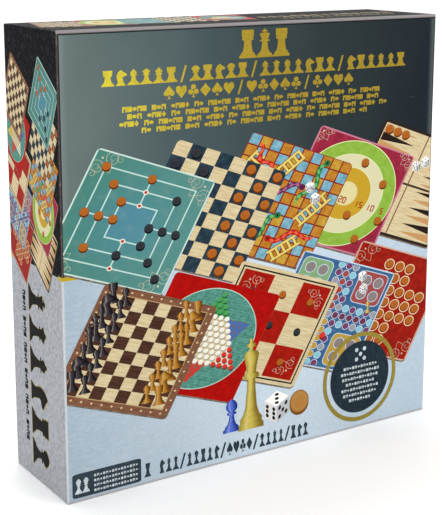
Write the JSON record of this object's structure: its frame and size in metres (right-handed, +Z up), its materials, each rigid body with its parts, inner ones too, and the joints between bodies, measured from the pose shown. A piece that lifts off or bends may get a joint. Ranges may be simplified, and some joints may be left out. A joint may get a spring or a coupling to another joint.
{
  "type": "games compendium box",
  "caption": "Square two-part cardboard games box standing on its edge, with a lift-off lid, double-sided boards, a booklet, and a moulded tray of chess pieces, counters, pawns, pegs and dice.",
  "frame": {"origin": "centre of the footprint of the box as it stands on its lower edge, on the surface it stands on", "axes": "+Z up the printed cover, -Y out of the cover towards the viewer, +X to the viewer's right"},
  "size_m": [0.267, 0.07, 0.267],
  "materials": {
    "lid_print": "satin foil print, dark slate above and silver-blue below",
    "base_print": "satin foil print, silver-blue",
    "gold_print": "satin gold print",
    "greyboard": "matte, fibrous",
    "stay_tape": "matte",
    "snakes_ladders_print": "satin varnished print",
    "ludo_print": "satin varnished print",
    "draughts_print": "satin varnished print",
    "star_print": "satin varnished print",
    "backgammon_print": "satin varnished print",
    "solitaire_print": "satin varnished print",
    "mill_print": "satin varnished print",
    "tic_tac_toe_print": "satin varnished print",
    "target_print": "satin varnished print",
    "chess_print": "satin varnished print",
    "booklet_cover": "satin",
    "booklet_paper": "matte",
    "staple_wire": "bright wire",
    "tray_plastic": "satin, vacuum formed",
    "black_plastic": "gloss",
    "tan_plastic": "gloss",
    "red_plastic": "gloss",
    "blue_plastic": "gloss",
    "yellow_plastic": "gloss",
    "green_plastic": "gloss",
    "white_plastic": "gloss",
    "purple_plastic": "gloss",
    "orange_plastic": "gloss"
  },
  "bodies": {
    "base": {"base_board": "greyboard", "base_wrap": "base_print", "base_corner_stays": "stay_tape"},
    "lid": {"lid_board": "greyboard", "lid_wrap": "lid_print", "lid_corner_stays": "stay_tape"},
    "booklet": {"booklet_back_cover": "booklet_cover", "booklet_pages": "booklet_paper", "booklet_staples": "staple_wire"},
    "booklet_cover": {"booklet_front_cover": "booklet_cover"},
    "board_1": {"board_1_core": "greyboard", "board_1_front_sheet": "snakes_ladders_print", "board_1_back_sheet": "ludo_print"},
    "board_2": {"board_2_core": "greyboard", "board_2_front_sheet": "draughts_print", "board_2_back_sheet": "star_print"},
    "board_3": {"board_3_core": "greyboard", "board_3_front_sheet": "backgammon_print", "board_3_back_sheet": "solitaire_print"},
    "board_4": {"board_4_core": "greyboard", "board_4_front_sheet": "mill_print", "board_4_back_sheet": "tic_tac_toe_print"},
    "board_5": {"board_5_core": "greyboard", "board_5_front_sheet": "target_print", "board_5_back_sheet": "chess_print"},
    "tray": {"piece_tray": "tray_plastic"},
    "black_chess_set": {"black_king": "black_plastic", "black_queen": "black_plastic", "black_bishop": "black_plastic", "black_knight": "black_plastic", "black_rook": "black_plastic", "black_pawn": "black_plastic"},
    "tan_chess_set": {"tan_king": "tan_plastic", "tan_queen": "tan_plastic", "tan_bishop": "tan_plastic", "tan_knight": "tan_plastic", "tan_rook": "tan_plastic", "tan_pawn": "tan_plastic"},
    "orange_counter_set": {"orange_counters": "orange_plastic"},
    "black_counter_set": {"black_counters": "black_plastic"},
    "game_pawn_set": {"red_game_pawns": "red_plastic", "blue_game_pawns": "blue_plastic", "yellow_game_pawns": "yellow_plastic", "green_game_pawns": "green_plastic"},
    "peg_set": {"white_pegs": "white_plastic", "red_pegs": "red_plastic", "green_pegs": "green_plastic", "yellow_pegs": "yellow_plastic", "blue_pegs": "blue_plastic", "purple_pegs": "purple_plastic"},
    "dice_set": {"dice": "white_plastic"}
  },
  "joints": [
    {"name": "lid_lift", "type": "slide", "parent": "base", "child": "lid", "axis": [0, -1, 0], "range_m": [0, 0.4]},
    {"name": "booklet_lift", "type": "slide", "parent": "base", "child": "booklet", "axis": [0, -1, 0], "range_m": [0, 0.24]},
    {"name": "booklet_cover_hinge", "type": "hinge", "parent": "booklet", "child": "booklet_cover", "pos_m": [-0.074, -0.0316, 0.1108], "axis": [0, 0, -1], "range_deg": [0, 170]},
    {"name": "board_1_lift", "type": "slide", "parent": "base", "child": "board_1", "axis": [0, -1, 0], "range_m": [0, 0.2]},
    {"name": "board_2_lift", "type": "slide", "parent": "base", "child": "board_2", "axis": [0, -1, 0], "range_m": [0, 0.188]},
    {"name": "board_3_lift", "type": "slide", "parent": "base", "child": "board_3", "axis": [0, -1, 0], "range_m": [0, 0.176]},
    {"name": "board_4_lift", "type": "slide", "parent": "base", "child": "board_4", "axis": [0, -1, 0], "range_m": [0, 0.164]},
    {"name": "board_5_lift", "type": "slide", "parent": "base", "child": "board_5", "axis": [0, -1, 0], "range_m": [0, 0.152]},
    {"name": "tray_lift", "type": "slide", "parent": "base", "child": "tray", "axis": [0, -1, 0], "range_m": [0, 0.076]},
    {"name": "black_chess_set_lift", "type": "slide", "parent": "tray", "child": "black_chess_set", "axis": [0, -1, 0], "range_m": [0, 0.056]},
    {"name": "tan_chess_set_lift", "type": "slide", "parent": "tray", "child": "tan_chess_set", "axis": [0, -1, 0], "range_m": [0, 0.056]},
    {"name": "orange_counter_set_lift", "type": "slide", "parent": "tray", "child": "orange_counter_set", "axis": [0, -1, 0], "range_m": [0, 0.056]},
    {"name": "black_counter_set_lift", "type": "slide", "parent": "tray", "child": "black_counter_set", "axis": [0, -1, 0], "range_m": [0, 0.056]},
    {"name": "game_pawn_set_lift", "type": "slide", "parent": "tray", "child": "game_pawn_set", "axis": [0, -1, 0], "range_m": [0, 0.056]},
    {"name": "peg_set_lift", "type": "slide", "parent": "tray", "child": "peg_set", "axis": [0, -1, 0], "range_m": [0, 0.056]},
    {"name": "dice_set_lift", "type": "slide", "parent": "tray", "child": "dice_set", "axis": [0, -1, 0], "range_m": [0, 0.056]}
  ],
  "couplings": [
    {"joint": "booklet_lift", "follows": "lid_lift", "ratio": 0.6},
    {"joint": "booklet_cover_hinge", "follows": "lid_lift", "rad_per_m": 2.5},
    {"joint": "board_1_lift", "follows": "lid_lift", "ratio": 0.5},
    {"joint": "board_2_lift", "follows": "lid_lift", "ratio": 0.47},
    {"joint": "board_3_lift", "follows": "lid_lift", "ratio": 0.44},
    {"joint": "board_4_lift", "follows": "lid_lift", "ratio": 0.41},
    {"joint": "board_5_lift", "follows": "lid_lift", "ratio": 0.38},
    {"joint": "tray_lift", "follows": "lid_lift", "ratio": 0.19},
    {"joint": "black_chess_set_lift", "follows": "lid_lift", "ratio": 0.14},
    {"joint": "tan_chess_set_lift", "follows": "lid_lift", "ratio": 0.14},
    {"joint": "orange_counter_set_lift", "follows": "lid_lift", "ratio": 0.14},
    {"joint": "black_counter_set_lift", "follows": "lid_lift", "ratio": 0.14},
    {"joint": "game_pawn_set_lift", "follows": "lid_lift", "ratio": 0.14},
    {"joint": "peg_set_lift", "follows": "lid_lift", "ratio": 0.14},
    {"joint": "dice_set_lift", "follows": "lid_lift", "ratio": 0.14}
  ]
}
